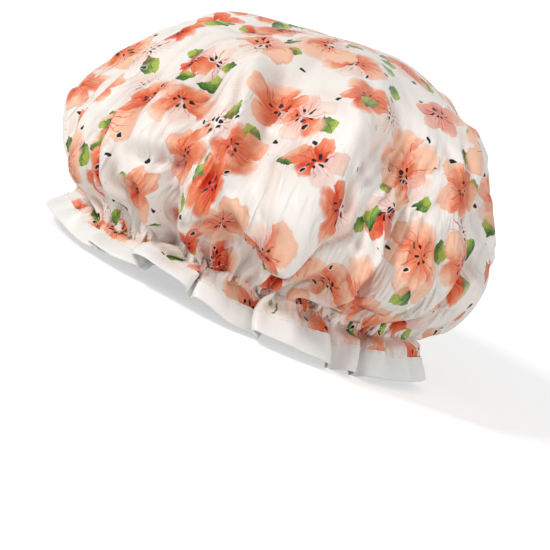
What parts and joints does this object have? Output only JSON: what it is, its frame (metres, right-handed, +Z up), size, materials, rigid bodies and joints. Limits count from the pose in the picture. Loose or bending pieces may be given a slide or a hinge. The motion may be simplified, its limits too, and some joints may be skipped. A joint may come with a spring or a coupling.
{
  "type": "shower cap",
  "caption": "Bouffant shower cap: gathered printed satin crown over a waterproof lining, drawn in by an elastic, with a ruffled hem bound in white.",
  "frame": {"origin": "middle of the cap's footprint, on the plane that the hem's edge stands on", "axes": "+Z up through the crown, -Y towards the wearer's forehead, +X towards the wearer's left ear"},
  "size_m": [0.2992, 0.3006, 0.1899],
  "materials": {
    "printed_satin": "warm white satin with a coral and green floral print",
    "lining_film": "soft white waterproof film, satin sheen",
    "binding_film": "soft white folded binding, faint grain",
    "elastic": "off-white braided elastic",
    "thread": "off-white sewing thread"
  },
  "bodies": {
    "root": {"outer_crown": "printed_satin", "waterproof_lining": "lining_film", "hem_band": "binding_film", "elastic_loop": "elastic", "elastic_tack": "thread", "channel_stitching_upper": "thread", "channel_stitching_lower": "thread", "hem_stitching": "thread"}
  },
  "joints": []
}
